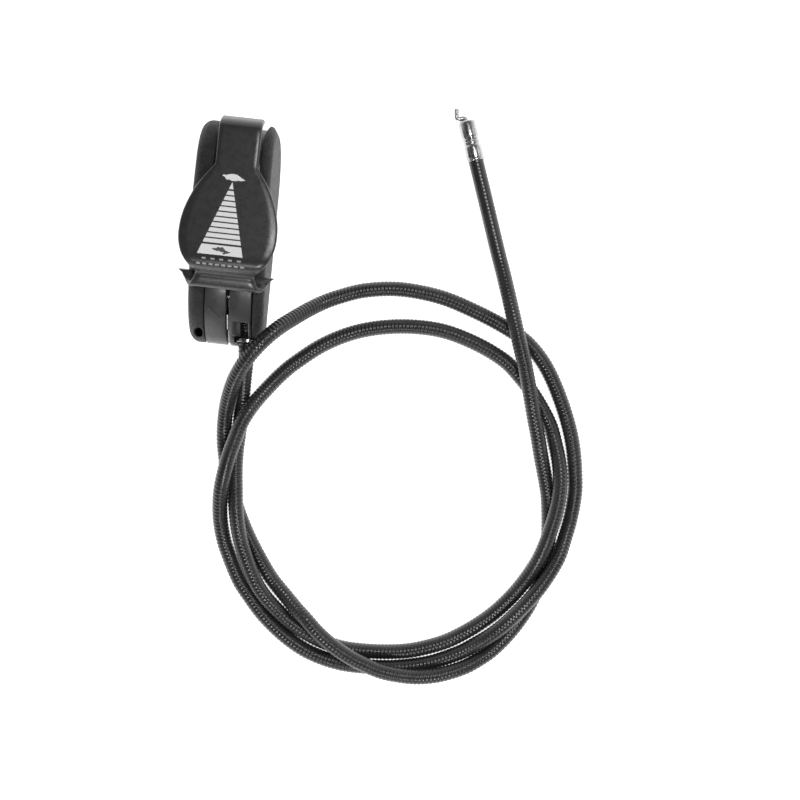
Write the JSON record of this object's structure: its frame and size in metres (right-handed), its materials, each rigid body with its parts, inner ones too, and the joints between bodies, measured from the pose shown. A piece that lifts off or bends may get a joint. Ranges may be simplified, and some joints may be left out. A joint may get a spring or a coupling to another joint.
{
  "type": "lever throttle control",
  "caption": "Hand throttle control: narrow plastic head with a thumb lever that drives an inner wire through a long ribbed cable sheath to a bent wire end.",
  "frame": {"origin": "centre of the back plane the head rests on, below the middle of its box without the cable", "axes": "+Y along the head towards the lever pivot end, +Z out of the head towards the lever, X across its layers"},
  "size_m": [0.1388, 0.1937, 0.0462],
  "materials": {
    "grained_plastic": "fine moulded grain, black",
    "core_plastic": "smooth moulded black",
    "lever_plastic": "satin black",
    "lever_print": "white printed scale",
    "conduit_jacket": "ribbed black jacket",
    "zinc_steel": "zinc plated",
    "spring_steel": "bright spring steel",
    "ferrule_nickel": "nickel plated, crimped",
    "wire_steel": "drawn wire",
    "liner_nylon": "natural nylon"
  },
  "bodies": {
    "housing": {"left_cover": "grained_plastic", "right_cover": "grained_plastic", "core_left": "core_plastic", "core_right": "core_plastic", "centre_plate": "spring_steel", "cover_screw_1": "zinc_steel", "cover_screw_2": "zinc_steel", "cover_screw_3": "zinc_steel", "cover_nut_1": "zinc_steel", "cover_nut_2": "zinc_steel", "cover_nut_3": "zinc_steel", "conduit_clip": "spring_steel", "head_cap": "ferrule_nickel", "wire_guide": "liner_nylon", "conduit": "conduit_jacket", "conduit_end": "conduit_jacket", "end_ferrule": "ferrule_nickel", "end_bush": "liner_nylon"},
    "thumb_lever": {"lever": "lever_plastic", "pivot_pin": "zinc_steel", "friction_washer": "spring_steel", "flat_washer": "zinc_steel", "pivot_clip": "spring_steel", "crank_plate": "zinc_steel"},
    "inner_wire": {"head_wire": "wire_steel"},
    "wire_end": {"end_wire": "wire_steel"}
  },
  "joints": [
    {"name": "lever_swing", "type": "hinge", "parent": "housing", "child": "thumb_lever", "pos_m": [0, 0.0193, 0.0295], "axis": [-1, 0, 0], "range_deg": [0, 45]},
    {"name": "inner_wire_slide", "type": "slide", "parent": "housing", "child": "inner_wire", "axis": [0, -1, 0], "range_m": [0, 0.01712]},
    {"name": "wire_end_slide", "type": "slide", "parent": "housing", "child": "wire_end", "axis": [-0.347, 0.9379, 0], "range_m": [0, 0.01712]}
  ],
  "couplings": [
    {"joint": "inner_wire_slide", "follows": "lever_swing", "m_per_rad": 0.021671},
    {"joint": "wire_end_slide", "follows": "lever_swing", "m_per_rad": 0.021671}
  ]
}
